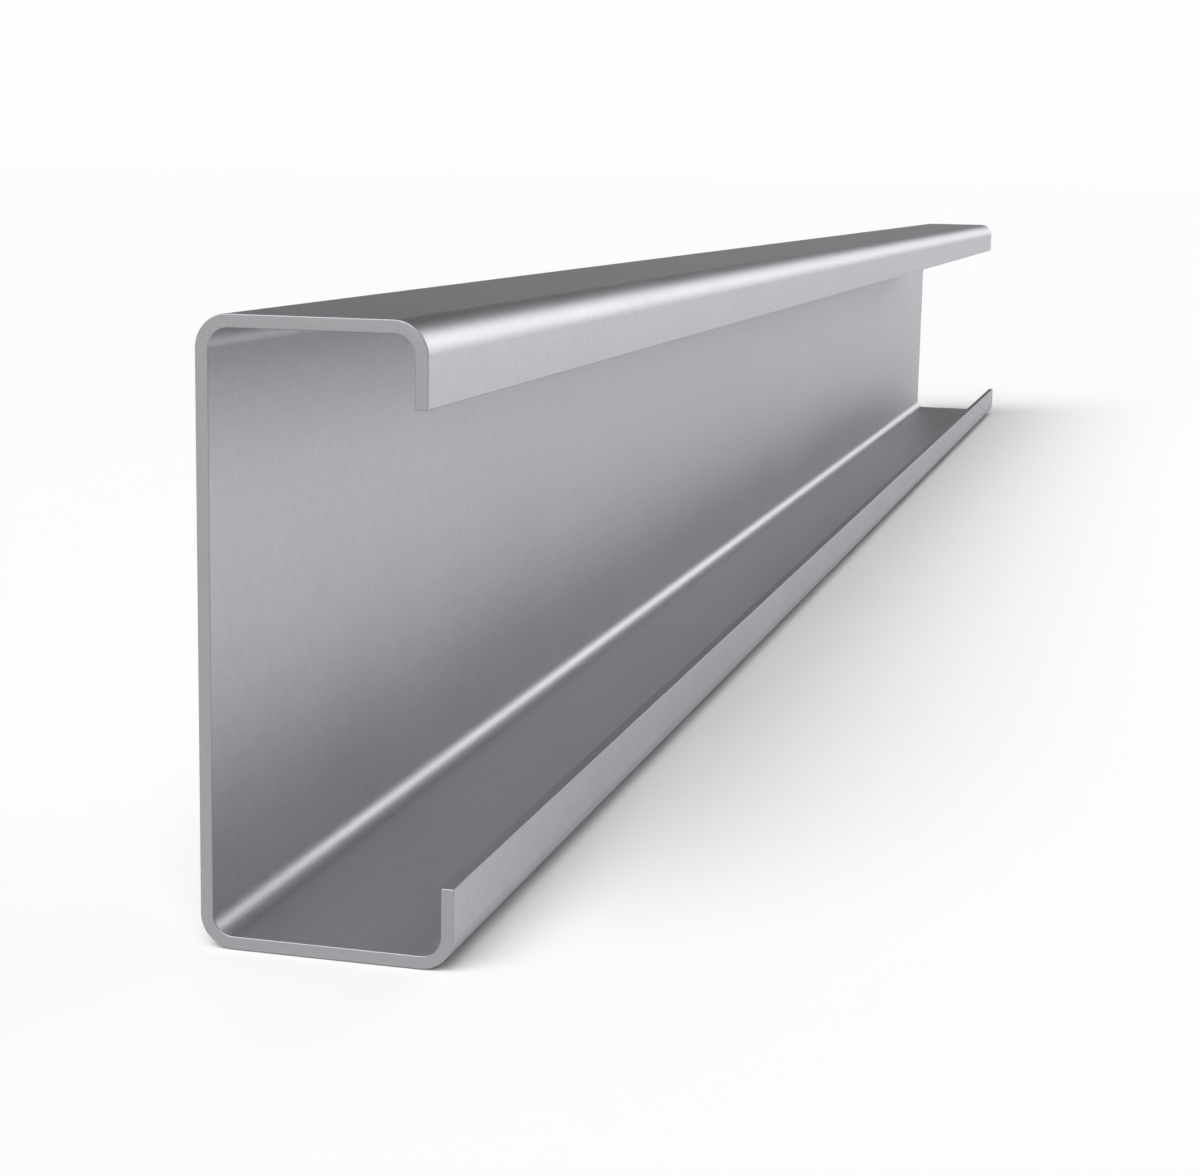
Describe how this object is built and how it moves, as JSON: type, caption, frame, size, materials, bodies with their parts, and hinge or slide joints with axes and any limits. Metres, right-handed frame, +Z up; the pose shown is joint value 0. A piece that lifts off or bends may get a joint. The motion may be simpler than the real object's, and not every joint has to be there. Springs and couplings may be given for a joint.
{
  "type": "galvanized C purlin",
  "caption": "Galvanized steel C purlin: straight cold-formed channel with inturned lips, a broad and a narrow flange, and square-cut ends, to carry sheeting.",
  "frame": {"origin": "on the floor, under the middle of the broad lower flange's width and of the length", "axes": "+Y along the length, +X from the back of the web towards the open, lipped side, +Z up the web"},
  "size_m": [0.063, 1.4, 0.15],
  "materials": {
    "galvanized_steel": "hot-dip zinc coated strip, satin grey with fine spangle"
  },
  "bodies": {
    "root": {"purlin": "galvanized_steel"}
  },
  "joints": []
}
